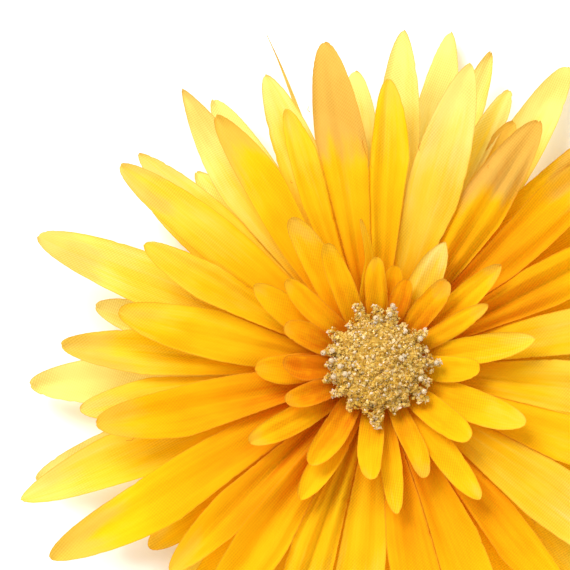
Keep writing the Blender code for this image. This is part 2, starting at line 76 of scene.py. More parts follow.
OUTER_HUB = 7.0
LONG_HUB = 6.0
SHORT_HUB = 5.0
SLIT_SHARE = 0.985  # how much of its sector a petal may fill
SHAPE_RUN = 60.0  # over which cup, twist and lift reach their full size
WIDEST = 0.56  # the share of its reach where a petal is widest
OUTER_ROOT = 0.32  # width at the root against the greatest
INNER_ROOT = 0.66
OUTER_CREASE = 0.85  # how deep the cloth is creased
INNER_CREASE = 0.6
OUTER_SHAPE = (0.9, 0.9, 1.2)  # cup, twist and lift
INNER_SHAPE = (1.5, 0.9, 0.9)

# How far the petals of each disc fall, arch or rise, and over what run past the hub, as in the CAD
BACK_FALL, BACK_RUN, BACK_CURVE = 10.8, 63.0, 1.5
MIDDLE_ARCH, MIDDLE_RUN = 0.6, 61.0
FRONT_RISE, FRONT_RUN, FRONT_CURVE = 8.5, 55.0, 1.1
LONG_INNER_RISE, LONG_INNER_RUN = 6.5, 22.0
SHORT_INNER_RISE, SHORT_INNER_RUN = 6.0, 15.0

# Petals as (direction, reach, greatest width, paleness, tan of the tip, pointedness if not usual)
# Paleness is each petal's own dye tone with painted light and shade in it: the low paleness and
# strong tan of the petals at about 20 to 55 degrees paint the shade that falls on them, and the
# high paleness of the petals at about 80 to 200 degrees paints the window's light on them.
USUAL_POINTEDNESS = 0.5
BACK_PETALS = (
    (12, 63, 9, .5, .1), (27, 60, 8.5, .4, .2), (41, 66, 9, .5, .4), (57, 70, 9, .75, .25),
    (70, 65, 7, .75, .3, .6), (76, 67.5, 8.5, .8, .15, .6), (93, 57, 8.5, .9, .1),
    (107, 66.5, 8, .55, .5, .8), (121, 60, 8.5, .9, 0), (132, 50, 7, .8, 0),
    (143, 55, 7.5, .6, .4, .6), (154, 49, 7, .8, .1), (166, 53, 8.5, .85, .1),
    (183, 63.5, 10, .95, .15), (196, 65, 10, .95, .1, .6), (212, 58, 8.5, .6, .2),
    (227, 64, 9, .5, .4, .6), (241, 60, 8.5, .5, .2), (255, 66, 9, .6, .1), (269, 65.5, 9, .5, .2),
    (284, 62, 8.5, .6, .1), (299, 67, 9, .5, .1), (313, 60, 8.5, .5, .2), (328, 66, 9, .6, .1),
    (343, 60, 8.5, .6, .2), (357, 64, 9, .7, 0),
)
MIDDLE_PETALS = (
    (3, 60, 8.5, .6, .05), (18, 64, 9, .35, .4), (33, 58, 8.5, .15, .3), (47, 62, 8.5, .3, .6),
    (60, 52, 7.5, .4, .6), (65, 57, 6.5, .8, .15, .45), (86, 63, 8.5, .85, .1, .6),
    (97, 48, 6.5, .7, .2), (109, 58, 8.5, .75, .1, .6), (126, 62.3, 9, .85, .4, .8),
    (139, 58.5, 7.5, .75, .4, .6), (160, 66, 10, .65, .5, .46), (177, 57, 8.5, .5, .5),
    (189, 54, 8.5, .6, .2), (200, 68, 10, .45, .3, .6), (219, 52, 8.5, .3, .2),
    (233, 62, 9, .25, .3), (247, 57, 8.5, .4, .1), (261, 64, 9, .5, .2), (275, 59, 8.5, .35, .1),
    (289, 63, 9, .2, .1), (303, 58, 8.5, .2, .1), (317, 65, 9, .5, .1), (332, 57, 8.5, .4, .2),
    (347, 63, 9, .5, .05),
)
FRONT_PETALS = (
    (10, 62, 8.5, .65, .05), (26, 57, 8.5, .16, .5), (41, 62, 9, .1, .7), (55, 52.7, 9, .35, .85),
    (72, 57, 10, .82, .1, .65), (87, 52, 7.5, .45, .25), (100, 59, 9.5, .5, 1),
    (110, 49, 6.5, .5, .2), (122, 53, 7.8, .45, .5, .55), (143, 58, 8, .6, .45),
    (154, 47, 7.5, .6, .2), (170, 47, 9, .5, .2, .45), (193, 51, 9.5, .2, .4, .45),
    (211, 67, 10, .18, .5, .55), (224, 52, 7.5, .1, .3), (237, 60, 9, .2, .3),
    (251, 56, 8.5, .5, .1), (265, 62, 9, .55, .1), (280, 58, 9, .15, .1), (294, 62, 9, .2, .1, .45),
    (307, 55, 8, .05, .1), (322, 66, 11, .72, .05), (338, 59, 9, .45, .45, .45),
    (354, 63, 10, .7, .05),
)
LONG_INNER_PETALS = (
    (9, 28, 5.2, .68, .06, .6), (38, 28, 4.6, .43, .36, .6), (60, 25, 5.6, 1, 0, .75),
    (79, 18, 4.2, .38, .06, .45), (99, 26, 5, .58, .24), (122, 30, 5.6, .48, .3, .45),
    (150, 26, 5.4, .43, .24, .55), (180, 22, 5.6, .33, .18, .45), (214, 27, 4.9, .33, .24, .45),
    (242, 28, 5, .43, .18), (277, 27, 3.9, .53, .18), (307, 30, 4.9, .48, .18),
    (336, 28, 6, .63, .06),
)
SHORT_INNER_PETALS = (
    (26, 22, 3.6, .53, .3, .6), (50, 19, 4.5, .38, .36, .35), (70, 16, 4, .28, .06, .45),
    (90, 19, 4.1, .48, .18, .45), (115, 23, 4.4, .48, .18, .4), (138, 22, 4.4, .38, .18, .45),
    (160, 18, 4.6, .28, .18, .4), (183, 17, 5, .18, .12, .45), (205, 18, 4.3, .23, .18, .4),
    (235, 22, 5, .38, .18, .45), (263, 21, 4.6, .53, .18, .4), (293, 22, 4, .48, .3, .4),
    (320, 21, 5.2, .58, .12, .38), (359, 18, 4.8, .68, .06, .38),
)

# Crown rings (height, radius, share of a spike) and spikes, as in the CAD
CROWN_RINGS = (
    (0.0, 5.5, 0.0), (0.9, 7.4, 0.1), (2.0, 7.9, 1.0), (3.2, 7.7, 0.45), (4.4, 6.8, 0.1),
    (5.3, 4.6, 0.0), (5.8, 2.2, 0.0),
)
CROWN_TOP = 5.95
CROWN_TIP_RADIUS = 0.05
SPIKE_LENGTHS = (
    3.5, 1.6, 3.0, 1.2, 3.0, 3.2, 4.0, 1.6, 3.2, 2.4,
    1.8, 2.6, 2.6, 2.6, 1.6, 4.0, 1.4, 1.4, 3.6, 2.2,
)
SPIKE_NARROWING = 2.6  # how fast a spike's outline falls off to its sides
BEAD_COUNT = 14


def srgb(red, green, blue):
    """A colour given as it shows on a screen, 0 to 255, as a linear colour."""
    def linear(value):
        value /= 255
        return value / 12.92 if value <= 0.04045 else ((value + 0.055) / 1.055) ** 2.4
    return (linear(red), linear(green), linear(blue), 1)


def back_height(r):
    """Height of the back disc at a distance from the axis."""
    return BACK_DISC_Z - BACK_FALL * (np.maximum(r - OUTER_HUB, 0) / BACK_RUN) ** BACK_CURVE


def middle_height(r):
    share = np.minimum(1, np.maximum(r - OUTER_HUB, 0) / MIDDLE_RUN)
    return MIDDLE_DISC_Z + MIDDLE_ARCH * np.sin(math.pi * share)


def front_height(r):
    return FRONT_DISC_Z + FRONT_RISE * (np.maximum(r - OUTER_HUB, 0) / FRONT_RUN) ** FRONT_CURVE


def long_inner_height(r):
    return LONG_INNER_Z + LONG_INNER_RISE * np.maximum(r - LONG_HUB, 0) / LONG_INNER_RUN


def short_inner_height(r):
    return SHORT_INNER_Z + SHORT_INNER_RISE * np.maximum(r - SHORT_HUB, 0) / SHORT_INNER_RUN


# Node helpers -------------------------------------------------------------------------------

# The colour sockets of a Mix node, which shares its sockets' names among its data types
MIX_COLOUR_A = 6
MIX_COLOUR_B = 7
MIX_COLOUR_RESULT = 2
WAVE_CYCLE = 20  # a Wave node's scale is tau over this many times the pitch


class Shader:
    """A material's node tree, with short ways to add nodes to it."""

    def __init__(self, name):
        self.material = bpy.data.materials.new(name)
        self.material.use_nodes = True
        self.nodes = self.material.node_tree.nodes
        self.nodes.clear()
        self.output = self.nodes.new("ShaderNodeOutputMaterial")

    def put(self, socket, value):
        if isinstance(value, bpy.types.NodeSocket):
            self.material.node_tree.links.new(value, socket)
        else:
            socket.default_value = value

    def set(self, node, **values):
        """Set sockets by name, with _ for a space."""
        for name, value in values.items():
            node.inputs[name.replace("_", " ")].default_value = value

    def math(self, operation, a, b=0.0, clamp=False):
        node = self.nodes.new("ShaderNodeMath")
        node.operation = operation
        node.use_clamp = clamp
        self.put(node.inputs[0], a)
        self.put(node.inputs[1], b)
        return node.outputs[0]

    def times(self, a, b, clamp=False):
        return self.math("MULTIPLY", a, b, clamp)

    def total(self, first, *others):
        for other in others:
            first = self.math("ADD", first, other)
        return first

    def attribute(self, name):
        node = self.nodes.new("ShaderNodeAttribute")
        node.attribute_name = name
        split = self.nodes.new("ShaderNodeSeparateXYZ")
        self.put(split.inputs[0], node.outputs["Vector"])
        return split.outputs[0], split.outputs[1], split.outputs[2]

    def point(self, x, y, z=0.0):
        node = self.nodes.new("ShaderNodeCombineXYZ")
        for socket, value in zip(node.inputs, (x, y, z)):
            self.put(socket, value)
        return node.outputs[0]

    def place(self, turn=0.0):
        """The piece's own coordinates in metres, turned about Z."""
        coordinates = self.nodes.new("ShaderNodeTexCoord")
        mapping = self.nodes.new("ShaderNodeMapping")
        self.set(mapping, Rotation=(0, 0, math.radians(turn)))
        self.put(mapping.inputs["Vector"], coordinates.outputs["Object"])
        return mapping.outputs[0]

    def noise(self, vector, scale, detail=2.0, roughness=0.5):
        node = self.nodes.new("ShaderNodeTexNoise")
        self.put(node.inputs["Vector"], vector)
        self.set(node, Scale=scale, Detail=detail, Roughness=roughness)
        return node.outputs[0]

    def wave(self, vector, pitch, direction="X", distortion=0.0):
        node = self.nodes.new("ShaderNodeTexWave")
        node.bands_direction = direction
        self.put(node.inputs["Vector"], vector)
        self.set(node, Scale=math.tau / (WAVE_CYCLE * pitch * MM), Distortion=distortion)
        return node.outputs["Fac"]

    def fit(self, value, low, high, to_low=0.0, to_high=1.0, smooth=True):
        node = self.nodes.new("ShaderNodeMapRange")
        node.interpolation_type = "SMOOTHSTEP" if smooth else "LINEAR"
        self.put(node.inputs["Value"], value)
        self.set(node, From_Min=low, From_Max=high, To_Min=to_low, To_Max=to_high)
        return node.outputs[0]

    def ramp(self, value, stops):
        node = self.nodes.new("ShaderNodeValToRGB")
        elements = node.color_ramp.elements
        while len(elements) < len(stops):
            elements.new(0.5)
        for element, (position, colour) in zip(elements, stops):
            element.position = position
            element.color = colour
        self.put(node.inputs[0], value)
        return node.outputs[0]

    def mix(self, factor, a, b, blend="MIX"):
        node = self.nodes.new("ShaderNodeMix")
        node.data_type = "RGBA"
        node.blend_type = blend
        self.put(node.inputs["Factor"], factor)
        self.put(node.inputs[MIX_COLOUR_A], a)
        self.put(node.inputs[MIX_COLOUR_B], b)
        return node.outputs[MIX_COLOUR_RESULT]

    def bump(self, height, distance, strength=1.0):
        node = self.nodes.new("ShaderNodeBump")
        self.set(node, Strength=strength, Distance=distance * MM)
        self.put(node.inputs["Height"], height)
        return node.outputs[0]

    def surface(self, colour, roughness, normal=None, **constants):
        node = self.nodes.new("ShaderNodeBsdfPrincipled")
        self.put(node.inputs["Base Color"], colour)
        self.put(node.inputs["Roughness"], roughness)
        if normal:
            self.put(node.inputs["Normal"], normal)
        self.set(node, **constants)
        return node

    def finish(self, node):
        self.put(self.output.inputs["Surface"], node.outputs[0])
        return self.material


# Materials ----------------------------------------------------------------------------------

LEMON = srgb(244, 228, 132)
YELLOW = srgb(247, 215, 70)
GOLD = srgb(250, 205, 16)
AMBER = srgb(249, 192, 4)
ORANGE = srgb(243, 167, 2)
DEEP = srgb(232, 134, 0)
TAN = srgb(228, 184, 84)
EDGE_TAN = srgb(214, 152, 44)
WEAVE_SHADE = srgb(237, 227, 204)

PETALS_APART = 60.0  # in noise space, so that no two petals are blotched alike
BLOTCH_GRAIN = (2.0, 3.4)  # cells of noise across and along a petal
STREAK_GRAIN = (13.0, 1.7)
# a petal's paleness is its dye tone with painted light and shade in it
PALE_AND_LIT_SHARE = 0.72  # how much a petal's own paleness counts
WASH_DEPTH = 0.9
WASH_SHARE = 0.6
FADING_SHARE = 0.35
FADING_MIDDLE = 0.7
ROOT_END = 0.38  # share of the reach where the root's deep colour ends
ROOT_DEPTH = 0.8
TAN_START, TAN_END = 0.94, 1.1
TAN_SPREAD = 0.42
TAN_DEPTH = 1.25
CUT_EDGE = (0.02, 0.12)  # in units of 2 mm from the edge
CUT_EDGE_DEPTH = 0.45
WARP_PITCH, WEFT_PITCH = 0.4, 0.52
WARP_SHARE = 0.7
THREAD_WANDER = 0.3
WEAVE_PATCHES = 110.0
WEAVE_RELIEF = 0.03


def petal_shade(shader, paling):
    """How pale the colour is, from 0 to 1: the dye's tone, with painted light and shade from each
    petal's paleness; also the slow wash and the fine streaks in it.
    """
    across, along, chance = shader.attribute("petal")
    own = shader.times(chance, PETALS_APART)
    noises = []
    for grain, roughness in ((BLOTCH_GRAIN, 0.55), (STREAK_GRAIN, 0.6)):
        spread = [shader.times(value, cells) for value, cells in zip((across, along), grain)]
        noises.append(shader.noise(shader.point(*spread, own), 1.0, 3.0, roughness))
    blotch, streak = noises
    wash = shader.times(shader.math("SUBTRACT", blotch, 0.5), WASH_DEPTH)
    flat = shader.nodes.new("ShaderNodeMapping")
    shader.set(flat, Scale=(1, 1, 0))
    shader.put(flat.inputs["Vector"], shader.place())
    out = shader.nodes.new("ShaderNodeVectorMath")
    out.operation = "LENGTH"
    shader.put(out.inputs[0], flat.outputs[0])
    inner, outer, change, base = paling
    outward = shader.fit(out.outputs["Value"], inner * MM, outer * MM, 0.0, change, smooth=False)
    # the first value of "finish" is the petal's paleness: its dye tone with painted light and shade
    pale_and_lit, _, _ = shader.attribute("finish")
    fading = shader.times(shader.math("SUBTRACT", streak, FADING_MIDDLE), FADING_SHARE)
    shade = shader.total(
        shader.times(pale_and_lit, PALE_AND_LIT_SHARE), outward, base, shader.times(wash, WASH_SHARE), fading,
    )
    return shade, wash, streak


def petal_dye(shader, shade, wash):
    """The dyed colour: deep at the root, tanned at some tips, and darker along the cut edge."""
    _, along, _ = shader.attribute("petal")
    _, tan, edge = shader.attribute("finish")
    body = shader.ramp(shade, (
        (0.0, DEEP), (0.14, ORANGE), (0.36, AMBER), (0.56, GOLD), (0.78, YELLOW), (1.0, LEMON),
    ))
    reach = shader.total(along, shader.times(wash, 0.25))
    root = shader.fit(reach, 0.0, ROOT_END, ROOT_DEPTH, 0.0)
    colour = shader.mix(root, body, DEEP)
    # the strong tan on the petals at about 20 to 55 degrees also paints the shade that falls on them
    patch = shader.total(along, shader.times(wash, WASH_SHARE), shader.times(tan, TAN_SPREAD))
    strength = shader.times(tan, TAN_DEPTH, clamp=True)
    tanned = shader.times(shader.fit(patch, TAN_START, TAN_END), strength)
    colour = shader.mix(tanned, colour, TAN)
    outline = shader.times(shader.fit(edge, *CUT_EDGE, 1.0, 0.0), CUT_EDGE_DEPTH)
    return shader.mix(outline, colour, EDGE_TAN)


def petal_cloth(name, weave_turn, through, paling):
    """Dyed cloth: deep at the root, gold to lemon further out, blotched like watercolour.

    through is how much light passes. paling is (radius in mm where it's deepest, radius where it's
    palest, the change between them, what is added everywhere).
    """
    shader = Shader(name)
    shade, wash, streak = petal_shade(shader, paling)
    colour = petal_dye(shader, shade, wash)
    place = shader.place(weave_turn)
    warp = shader.times(shader.wave(place, WARP_PITCH, "X", THREAD_WANDER), WARP_SHARE)
    weft = shader.times(shader.wave(place, WEFT_PITCH, "Y", THREAD_WANDER), 1 - WARP_SHARE)
    weave = shader.total(warp, weft)
    seen = shader.fit(shader.noise(place, WEAVE_PATCHES, detail=1.0), 0.38, 0.62, 0.25, 1.0)
    dark = shader.times(shader.math("SUBTRACT", 1.0, weave), seen)
    colour = shader.mix(dark, colour, WEAVE_SHADE, "MULTIPLY")
    relief = shader.total(weave, shader.times(streak, 1.2))
    normal = shader.bump(relief, WEAVE_RELIEF, strength=0.6)
    face = shader.surface(
        colour, 0.78, normal, Specular_IOR_Level=0.1, Sheen_Weight=0.05, Sheen_Roughness=0.5,
        Sheen_Tint=srgb(255, 236, 170),
    )
    glow = shader.nodes.new("ShaderNodeBsdfTranslucent")
    shader.put(glow.inputs["Color"], colour)
    shader.put(glow.inputs["Normal"], normal)
    both = shader.nodes.new("ShaderNodeMixShader")
    both.inputs[0].default_value = through
    shader.put(both.inputs[1], face.outputs[0])
    shader.put(both.inputs[2], glow.outputs[0])
    return shader.finish(both)


def glitter_material():
    """Crushed gold glitter and resin crumbs of many shades."""
    shader = Shader("crushed_gold_glitter")
    chance, _, sparkle = shader.attribute("crumb")
    colour = shader.ramp(chance, (
        (0.0, srgb(188, 132, 24)), (0.2, srgb(218, 166, 44)), (0.5, srgb(234, 188, 66)),
        (0.75, srgb(246, 212, 108)), (0.92, srgb(252, 224, 162)), (1.0, srgb(255, 234, 206)),
    ))
    grain = shader.noise(shader.place(), scale=2600.0)
    colour = shader.mix(shader.fit(grain, 0.35, 0.7, 0.0, 0.35), colour, srgb(168, 122, 44))
    roughness = shader.fit(sparkle, 0.0, 1.0, 0.7, 0.2, False)
    normal = shader.bump(grain, 0.08, 0.5)
    return shader.finish(shader.surface(
        colour, roughness, normal, Metallic=0.04, Coat_Weight=0.1, Transmission_Weight=0.3,
    ))


def cloudy_material(name, scale, detail, colours, roughness, relief=None, **constants):
    """Glass, plastic or glue: two near colours flow into each other, and the roughness follows."""
    shader = Shader(name)
    flow = shader.noise(shader.place(), scale, detail)
    colour = shader.mix(flow, *colours)
    normal = shader.bump(flow, *relief) if relief else None
    return shader.finish(shader.surface(
        colour, shader.fit(flow, 0.3, 0.7, *roughness), normal, **constants,
    ))


def felt_material():
    """Matted felt with a soft sheen."""
    shader = Shader("pressed_yellow_felt")
    place = shader.place()
    matted = shader.noise(place, scale=900.0, detail=4.0, roughness=0.7)
    lumps = shader.noise(place, scale=160.0)
    colour = shader.mix(shader.fit(matted, 0.3, 0.7), srgb(240, 178, 24), srgb(252, 212, 66))
    colour = shader.mix(shader.fit(lumps, 0.4, 0.7, 0.0, 0.3), colour, srgb(228, 158, 20))
    return shader.finish(shader.surface(
        colour, 0.95, shader.bump(shader.total(matted, lumps), 0.25, 0.8),
        Specular_IOR_Level=0.15, Sheen_Weight=0.5, Sheen_Roughness=0.5,
    ))


def steel_material(name, tone, roughness):
    """Bright sheet steel with a rolled grain along X and fine scratches."""
    shader = Shader(name)
    place = shader.place()
    stretched = shader.nodes.new("ShaderNodeMapping")
    shader.set(stretched, Scale=(0.06, 1.0, 1.0))
    shader.put(stretched.inputs["Vector"], place)
    grain = shader.noise(stretched.outputs[0], scale=5200.0, detail=3.0, roughness=0.6)
    smudge = shader.noise(place, scale=130.0)
    colour = shader.mix(shader.fit(smudge, 0.35, 0.75, 0.0, 0.5), tone, srgb(196, 190, 178))
    rough = shader.fit(grain, 0.3, 0.7, roughness - 0.06, roughness + 0.08)
    rough = shader.total(rough, shader.fit(smudge, 0.4, 0.8, 0.0, 0.14))
    return shader.finish(shader.surface(
        colour, rough, shader.bump(grain, 0.012, 0.5), Metallic=1.0,
    ))


def floor_material():
    """A plain white tabletop."""
    shader = Shader("white_tabletop")
    speckle = shader.noise(shader.place(), scale=60.0)
    colour = shader.mix(speckle, srgb(250, 249, 247), srgb(252, 251, 249))
    return shader.finish(shader.surface(colour, 0.6, Specular_IOR_Level=0.2))


# Meshes -------------------------------------------------------------------------------------

def put_in_scene(name, data):
    """An object of the scene that holds the data."""
    obj = bpy.data.objects.new(name, data)
    scene.collection.objects.link(obj)
    return obj


def add_piece(name, vertices, faces, material, attributes=None, smooth=True):
    """Make an object in the frame's space from points in millimetres."""
    mesh = bpy.data.meshes.new(name)
    mesh.from_pydata([tuple(v) for v in np.asarray(vertices, float) * MM], [], faces)
    for key, values in (attributes or {}).items():
        layer = mesh.attributes.new(key, "FLOAT_COLOR", "POINT")
        colours = np.ones((len(vertices), 4), np.float32)
        colours[:, :3] = values
        layer.data.foreach_set("color", colours.ravel())
    mesh.materials.append(material)
    if smooth:
        mesh.shade_smooth()
    return put_in_scene(name, mesh)


def grid_faces(rows, columns, first=0, closed=False):
    """Quads of a grid of vertices that runs row by row."""
    count = columns if closed else columns - 1
    return [
        (first + r * columns + c, first + r * columns + (c + 1) % columns,
         first + (r + 1) * columns + (c + 1) % columns, first + (r + 1) * columns + c)
        for r in range(rows - 1) for c in range(count)
    ]


def capped_faces(rows, columns):
    """Faces of a closed grid of vertices, with both of its ends shut."""
    count = rows * columns
    ends = [tuple(reversed(range(columns))), tuple(range(count - columns, count))]
    return grid_faces(rows, columns, closed=True) + ends


def polar(radius, angle, height):
    """A point at a distance from the flower's axis, in a direction in radians."""
    return Vector((radius * math.cos(angle), radius * math.sin(angle), height))


def petal_sectors(petals):
    """For each petal, how far its two slits are. A wide petal takes more of the space."""
    sectors = []
    for i, (angle, _, width, *_) in enumerate(petals):
        last_angle, _, last_width = petals[i - 1][:3]
        next_angle, _, next_width = petals[(i + 1) % len(petals)][:3]
        before = (angle - last_angle) % 360 * width / (width + last_width)
        after = (next_angle - angle) % 360 * width / (width + next_width)
        sectors.append((before, after))
    return sectors


def petal_fullness(share, pointed, root):
    """Half width of a petal against its greatest half width, at a share of its length."""
    rising = np.sin(math.pi / 2 * np.minimum(share / WIDEST, 1)) ** 1.2
    falling = np.clip((share - WIDEST) / (1 - WIDEST), 0, 1)
    bluntness = 1.85 + 1.4 * max(root - OUTER_ROOT, 0)
    tapering = np.maximum(1 - falling ** bluntness, 0) ** pointed
    return np.where(share < WIDEST, root + (1 - root) * rising, tapering)


EDGE_CROWDING = 0.86  # columns of a petal's mesh lie closer together at its edges
LAST_ROW_TURN = 87  # rows lie closer at the tip, but stop short of one another
HALF_TIP = 0.05
FRAY = 0.022
NICK_RARITY = 0.98
NICK_DEPTH = 0.13
FOLD_DEPTH = (0.2, 0.9)  # of the fold along a petal's middle
FOLD_WIDTH = 0.2
RIDGE_HEIGHT = (0.15, 0.6)
FLUTE_HEIGHT = 1.15  # of a petal pressed into flutes
RIDGE_TURNS = (4.5, 8.5)
DISH = (-1.0, 1.4)
TIP_RISE = (-1.2, 2.2)
TIP_START = 0.7  # the share of the reach past which the tip curls
ROLL_SWING = 2.0
EDGE_SPAN = 2.0  # mm that the "finish" attribute's edge distance counts as 1
USUAL_REACH = 60
USUAL_WIDTH = 9
WELD_DISTANCE = 1e-6


def petal_edges(detail, t, radius, half, sector, slant):
    """How far a petal reaches to its right and left, slit from its neighbours and a little frayed."""
    ragged = detail.normal(0, FRAY, (len(t), 2))
    ragged += np.where(detail.random((len(t), 2)) > NICK_RARITY, -NICK_DEPTH, 0)
    ragged *= np.minimum(1, t * 4)
    swelling = slant * np.sin(math.pi * t ** 1.5) * t
    edges = []
    for side, (bulge, angle) in enumerate(zip((1 + swelling, 1 - swelling), sector)):
        room = radius * math.radians(angle * SLIT_SHARE)
        edges.append(np.minimum(half * bulge, room) + ragged[:, side:side + 1])
    return edges


def petal_relief(detail, t, u, share, petal, root, is_fluted, phase):
    """Fold, ridges, dish and waves of a petal's cloth, in mm off its disc's own height."""
    _, reach, width, *_ = petal
    depth = OUTER_CREASE if root == OUTER_ROOT else INNER_CREASE
    press = np.minimum(1, t * 3) * np.minimum(1, (1 - t) * 4) * np.sqrt(width / USUAL_WIDTH) * depth
    ridges = FLUTE_HEIGHT if is_fluted else detail.uniform(*RIDGE_HEIGHT)
    z = -press * detail.uniform(*FOLD_DEPTH) * np.exp(-(u / FOLD_WIDTH) ** 2)
    z = z + press * ridges * np.cos(u * detail.uniform(*RIDGE_TURNS) + phase[1] + t * 1.5)
    z = z + press * detail.uniform(*DISH) * np.abs(u) ** 1.4
    z = z + root * t ** 2 * detail.uniform(*TIP_RISE) * min(1, 30 / reach)
    z = z + share * 0.55 * np.sin(math.tau * t * 1.3 + phase[2])
    return z + share * 0.5 * u * u * np.sin(math.tau * t * 2.1 + phase[3])


def make_disc(name, petals, height, hub, shape, root, seed, grid, material, roll, fluted):
    """One die-cut disc of cloth: a ring round the peg and its petals, creased and slightly frayed.

    roll holds (turn, rise) of petals that have rolled over on their sides, by direction, and fluted
    the directions of petals pressed into flutes. It also gives the flat cut's area in square
    metres: the ring, and each petal's width along its slope.
    """
    chance = random.Random(seed)
    detail = np.random.default_rng(seed)
    cup, twist, lift = shape
    rows, columns = grid
    crowding = math.pi / 2 * EDGE_CROWDING
    u = (np.sin(np.linspace(-1, 1, columns) * crowding) / math.sin(crowding))[None, :]
    straight = np.linspace(0, WIDEST, rows * 6 // 10, endpoint=False)[1:]
    rounded = np.sin(np.linspace(0, math.radians(LAST_ROW_TURN), rows - len(straight)))
    t = np.concatenate([straight, WIDEST + (1 - WIDEST) * rounded])[:, None]
    hub_rows = (PETAL_HOLE_RADIUS, (PETAL_HOLE_RADIUS + hub) / 2, hub)
    vertices, faces, petal_data, pale_lit_tan_edge = [], [], [], []
    cut_area = math.pi * (hub ** 2 - PETAL_HOLE_RADIUS ** 2)
    for petal, sector in zip(petals, petal_sectors(petals)):
        # the paleness from the tables is the petal's dye tone with painted light and shade in it
        angle, reach, width, pale_and_lit, tan, pointed = (*petal, USUAL_POINTEDNESS)[:6]
        leaning = chance.uniform(-twist, twist)
        lifting = chance.uniform(-lift, lift)
        own = detail.random()
        bend = detail.uniform(-1.6, 1.6) * (reach / USUAL_REACH) ** 0.5
        slant = detail.uniform(-0.28, 0.28)
        phase = detail.uniform(0, math.tau, 4)
        curl = detail.uniform(-0.9, 1.4) * reach / USUAL_REACH
        first = len(vertices)
        for radius in hub_rows:
            a = np.radians(angle + np.where(u < 0, u * sector[0], u * sector[1]))[0]
            z = np.full(columns, height(np.float64(radius)))
            vertices.extend(np.stack([radius * np.cos(a), radius * np.sin(a), z], 1))
            petal_data.extend((0.5 + side / 2, 0.0, own) for side in u[0])
            pale_lit_tan_edge.extend((pale_and_lit, tan, 1.0) for _ in u[0])
        radius = hub + (reach - hub) * t
        half = width / 2 * petal_fullness(t, pointed, root)
        right, left = petal_edges(detail, t, radius, half, sector, slant)
        reaching = np.maximum(np.where(u < 0, right, left), HALF_TIP)
        lateral = u * reaching
        full_width = reaching[:, 0] + reaching[:, -1]
        run = np.hypot(np.diff(radius[:, 0]), np.diff(height(radius[:, 0])))
        cut_area += float(np.sum((full_width[1:] + full_width[:-1]) / 2 * run))
        share = np.maximum(radius - hub, 0) / SHAPE_RUN
        z = height(radius) + share * (cup * u * u + leaning * u + lifting)
        z = z + petal_relief(detail, t, u, share, petal, root, angle in fluted, phase)
        z = z + curl * np.maximum(t - TIP_START, 0) ** 2 / (1 - TIP_START) ** 2
        offset = lateral + bend * t ** 2 + 0.35 * np.sin(math.tau * t * 1.2 + phase[0]) * t * (1 - t)
        if angle in roll:
            turn, rise = roll[angle]
            tipping = math.radians(turn) * np.minimum(1, t * 1.6) ** 1.5
            z = z + lateral * np.sin(tipping) + rise * t ** 2
            offset += lateral * (np.cos(tipping) - 1) - ROLL_SWING * np.sin(math.pi * t) * t
        a = math.radians(angle) + offset / radius
        points = np.stack([radius * np.cos(a), radius * np.sin(a), z], -1)
        vertices.extend(points.reshape(-1, 3))
        inside = np.minimum((1 - np.abs(u)) * reaching, (1 - t) * (reach - hub) * 1.2)
        inside = np.minimum(inside / EDGE_SPAN, 1)
        for row, distances in zip(t[:, 0], inside):
            petal_data.extend((0.5 + side / 2, row, own) for side in u[0])
            pale_lit_tan_edge.extend((pale_and_lit, tan, distance) for distance in distances)
        faces.extend(grid_faces(len(hub_rows) + len(t), columns, first))
    obj = add_piece(name, vertices, faces, material, {"petal": petal_data, "finish": pale_lit_tan_edge})
    weld = obj.modifiers.new("join along the hub", "WELD")
    weld.merge_threshold = WELD_DISTANCE
    return obj, cut_area * MM ** 2


def tube(points, radius, sides, end_share=1.0):
    """Vertices and faces of a tube along points; it may narrow towards its end."""
    points = np.asarray(points, float)
    ahead = np.gradient(points, axis=0)
    ahead /= np.linalg.norm(ahead, axis=1)[:, None]
    is_upright = abs(ahead[0][2]) > 0.9
    start = np.array((1.0, 0, 0) if is_upright else (0, 0, 1.0))
    vertices = []
    for i, (point, direction) in enumerate(zip(points, ahead)):
        start = start - direction * start.dot(direction)
        start /= np.linalg.norm(start)
        other = np.cross(direction, start)
        size = radius * (1 + (end_share - 1) * i / (len(points) - 1))
        for k in range(sides):
            angle = math.tau * k / sides
            vertices.append(point + size * (math.cos(angle) * start + math.sin(angle) * other))
    return vertices, capped_faces(len(points), sides)


def gather(shapes):
    """Several (vertices, faces) as one."""
    vertices, faces = [], []
    for points, sides in shapes:
        first = len(vertices)
        vertices.extend(points)
        faces.extend(tuple(first + i for i in face) for face in sides)
    return vertices, faces


def crown_profile(angle):
    """Crown outline at a direction: (radius, height) from the underside to the top."""
    place = angle / math.tau * len(SPIKE_LENGTHS)
    nearest = round(place)
    closeness = max(0.0, 1 - abs(place - nearest) * SPIKE_NARROWING)
    spike = SPIKE_LENGTHS[nearest % len(SPIKE_LENGTHS)] * closeness
    outline = [(radius + share * spike, height) for height, radius, share in CROWN_RINGS]
    return outline + [(CROWN_TIP_RADIUS, CROWN_TOP)]


def along_outline(outline, step):
    """Radius and height at a step, counted in points of the outline."""
    i = min(int(step), len(outline) - 2)
    (radius, height), (next_radius, next_height) = outline[i:i + 2]
    share = step - i
    return radius + (next_radius - radius) * share, height + (next_height - height) * share


def lump_at(point):
    """How much the crown swells at a point."""
    return noise.noise(point * 0.7) * 0.9 + noise.noise(point * 1.9) * 0.4


def crown_base():
    """The lumpy core that the glitter sticks to."""
    columns, rows, lowest, sunk = 160, 34, 0.1, 0.45
    vertices = []
    for step in np.linspace(0, len(CROWN_RINGS), rows):
        for c in range(columns):
            angle = math.tau * c / columns
            radius, height = along_outline(crown_profile(angle), step)
            point = polar(radius, angle, height)
            outward = Vector((point.x, point.y, max(point.z - 1.5, 0) * 1.3)).normalized()
            point += outward * (lump_at(point) - sunk)
            vertices.append((point.x, point.y, max(point.z, lowest) + CROWN_BOTTOM))
    return vertices, capped_faces(rows, columns)


